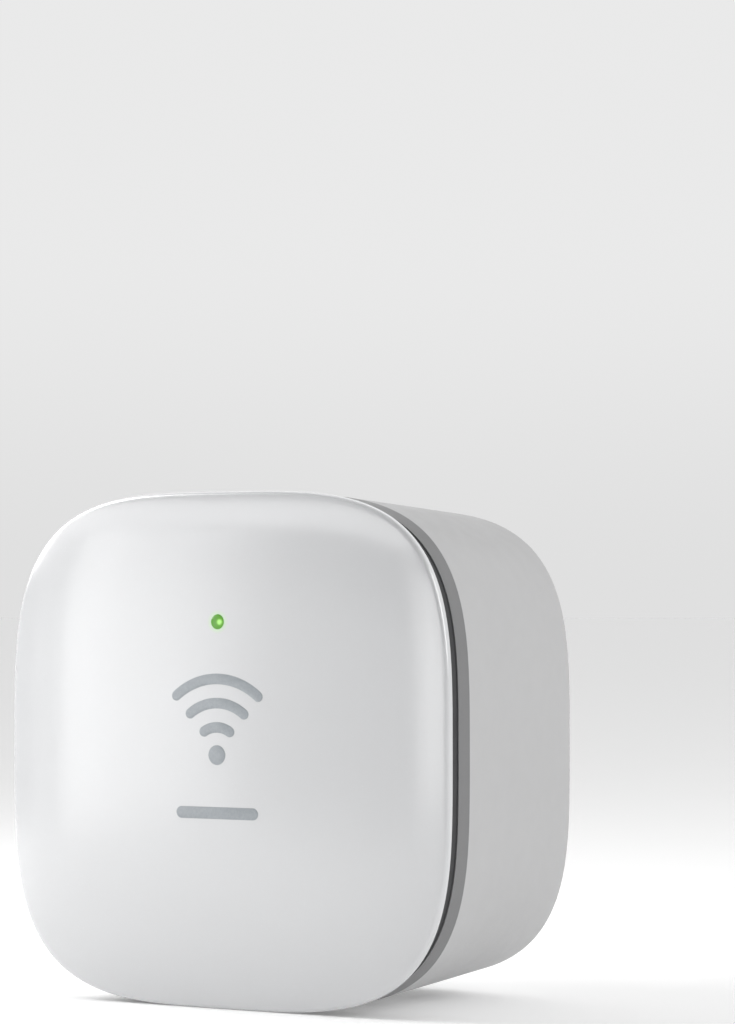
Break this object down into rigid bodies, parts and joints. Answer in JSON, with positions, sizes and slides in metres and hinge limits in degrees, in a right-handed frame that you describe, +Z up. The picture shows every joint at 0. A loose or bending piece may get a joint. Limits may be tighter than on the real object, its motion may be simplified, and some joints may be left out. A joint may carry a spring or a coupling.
{
  "type": "wifi range extender",
  "caption": "Square wall-plug wifi range extender with a glossy domed front cover, a tapered rear housing, a two-pin plug and a network socket.",
  "frame": {"origin": "middle of the plug, on the plane of the wall plate that the body's back rests against", "axes": "+Y into the wall, along the plug pins; +Z up; +X to the right seen from the front"},
  "size_m": [0.06, 0.0602, 0.06],
  "materials": {
    "gloss_white": "glossy moulded ABS",
    "light_grey": "fine matte texture",
    "grey_trim": "satin",
    "black_plastic": "satin",
    "green_light": "clear, lit green",
    "pin_metal": "nickel plated",
    "contact_metal": "tin plated",
    "contact_gold": "gold flashed",
    "label_silver": "satin film, blank",
    "board_tan": "bare laminate",
    "board_green": "solder mask",
    "capacitor_sleeve": "shrink sleeve",
    "ferrite": "sintered",
    "yellow_tape": "polyester tape",
    "disc_coat": "dipped epoxy",
    "film": "thin film",
    "tin_plate": "tin plated",
    "thermal_pad": "soft",
    "aluminium": "plain",
    "capacitor_ceramic": "fired",
    "chip_black": "moulded epoxy",
    "plunger_brown": "moulded",
    "coax_jacket": "smooth jacket",
    "screw_steel": "zinc plated"
  },
  "bodies": {
    "housing": {"board_screws": "screw_steel", "bridge_rectifier": "chip_black", "buck_inductor": "ferrite", "bulk_capacitor_1": "capacitor_sleeve", "bulk_capacitor_2": "capacitor_sleeve", "ceramic_capacitors": "capacitor_ceramic", "chip_resistors": "chip_black", "coax_plugs": "contact_gold", "crystal": "tin_plate", "flash_chip": "chip_black", "front_cover": "gloss_white", "fuse_resistor": "disc_coat", "heat_sink": "aluminium", "housing_screws": "screw_steel", "input_choke": "ferrite", "insulation_sheet": "film", "left_antenna": "board_green", "left_coax": "coax_jacket", "left_pin": "pin_metal", "light_pipe": "green_light", "logic_board": "board_green", "main_chip": "chip_black", "memory_chip": "chip_black", "mid_frame": "black_plastic", "network_transformer": "chip_black", "optocoupler": "chip_black", "output_capacitor_1": "capacitor_sleeve", "output_capacitor_2": "capacitor_sleeve", "output_diode": "chip_black", "pin_contacts": "contact_metal", "pin_sleeves": "black_plastic", "plug_boss": "light_grey", "power_board": "board_tan", "rating_label": "label_silver", "rear_housing": "light_grey", "reset_switch": "black_plastic", "right_antenna": "board_green", "right_coax": "coax_jacket", "right_pin": "pin_metal", "rj45_contacts": "contact_gold", "rj45_housing": "black_plastic", "rj45_shell": "tin_plate", "shield_can": "tin_plate", "status_led": "green_light", "supply_header": "black_plastic", "supply_pins": "contact_metal", "switch_controller": "chip_black", "thermal_pad": "thermal_pad", "transformer_bobbin": "black_plastic", "transformer_core": "ferrite", "transformer_winding": "yellow_tape", "trim_band": "grey_trim", "varistor": "disc_coat", "voltage_regulator": "chip_black", "wps_switch": "black_plastic", "y_capacitor": "disc_coat"},
    "wps_button": {"wps_button": "light_grey"},
    "wps_plunger": {"wps_plunger": "plunger_brown"},
    "reset_plunger": {"reset_plunger": "plunger_brown"}
  },
  "joints": [
    {"name": "wps_press", "type": "slide", "parent": "housing", "child": "wps_button", "axis": [1, 0, 0], "range_m": [0, 0.0003], "stiffness_N_per_m": 900, "springref_m": -0.0005},
    {"name": "wps_plunger_slide", "type": "slide", "parent": "housing", "child": "wps_plunger", "axis": [1, 0, 0], "range_m": [0, 0.0003]},
    {"name": "reset_press", "type": "slide", "parent": "housing", "child": "reset_plunger", "axis": [0, 0, 1], "range_m": [0, 0.0003], "stiffness_N_per_m": 1200, "springref_m": -0.0005}
  ],
  "couplings": [
    {"joint": "wps_plunger_slide", "follows": "wps_press", "ratio": 1}
  ]
}
